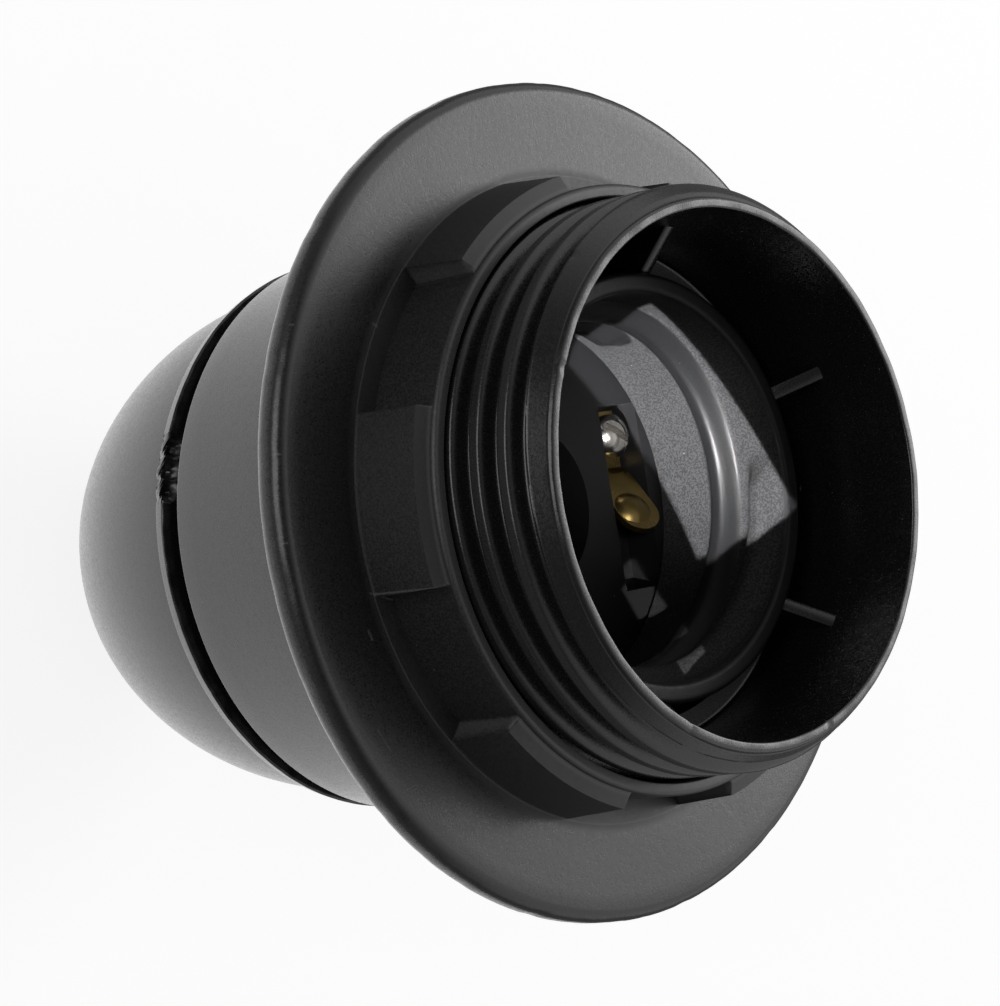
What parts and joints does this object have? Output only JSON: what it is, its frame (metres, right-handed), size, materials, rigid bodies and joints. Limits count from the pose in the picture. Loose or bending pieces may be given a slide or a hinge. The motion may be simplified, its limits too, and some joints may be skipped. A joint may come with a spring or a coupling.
{
  "type": "lamp holder",
  "caption": "Screw-shell lamp holder with a domed cap, a threaded skirt and a flanged shade ring, for an E27 lamp.",
  "frame": {"origin": "centre of the entry neck's end face, at the bottom of the holder", "axes": "+Z along the axis from the entry neck to the lamp's mouth; -Y faces the picture's camera"},
  "size_m": [0.059, 0.059, 0.0621],
  "materials": {
    "black_thermoplastic": "fine matt grain, right from the mould",
    "block_plastic": "smooth black moulding",
    "brass": "satin, as pressed",
    "bronze": "satin spring bronze",
    "nickel_plate": "bright nickel plate"
  },
  "bodies": {
    "dome": {"dome_cap": "black_thermoplastic"},
    "lock_screw": {"entry_lock_screw": "nickel_plate"},
    "skirt": {"threaded_skirt": "black_thermoplastic", "contact_block": "block_plastic", "centre_terminal": "brass", "side_terminal": "brass", "centre_contact_screw": "nickel_plate", "side_contact_screw": "nickel_plate"},
    "ring": {"shade_ring": "black_thermoplastic"},
    "centre_strip": {"centre_contact": "bronze"},
    "side_leaf": {"side_contact": "brass"},
    "centre_clamp": {"centre_clamp_screw": "nickel_plate"},
    "side_clamp": {"side_clamp_screw": "nickel_plate"}
  },
  "joints": [
    {"name": "skirt_unscrew", "type": "slide", "parent": "dome", "child": "skirt", "axis": [0, 0, 1], "range_m": [0, 0.008]},
    {"name": "ring_unscrew", "type": "slide", "parent": "skirt", "child": "ring", "axis": [0, 0, 1], "range_m": [0, 0.0175]},
    {"name": "centre_contact_press", "type": "hinge", "parent": "skirt", "child": "centre_strip", "pos_m": [0.0042, -0.0105, 0.0397], "axis": [-0.9285, -0.3714, 0], "range_deg": [0, 7], "stiffness_Nm_per_rad": 0.4},
    {"name": "side_contact_press", "type": "hinge", "parent": "skirt", "child": "side_leaf", "pos_m": [-0.0042, 0.0105, 0.03985], "axis": [0, 1, 0], "range_deg": [0, 6], "stiffness_Nm_per_rad": 0.3},
    {"name": "centre_clamp_travel", "type": "slide", "parent": "skirt", "child": "centre_clamp", "axis": [0, 0, -1], "range_m": [0, 0.0025]},
    {"name": "side_clamp_travel", "type": "slide", "parent": "skirt", "child": "side_clamp", "axis": [0, 0, -1], "range_m": [0, 0.0025]},
    {"name": "lock_screw_travel", "type": "slide", "parent": "dome", "child": "lock_screw", "axis": [1, 0, 0], "range_m": [0, 0.0015]}
  ]
}
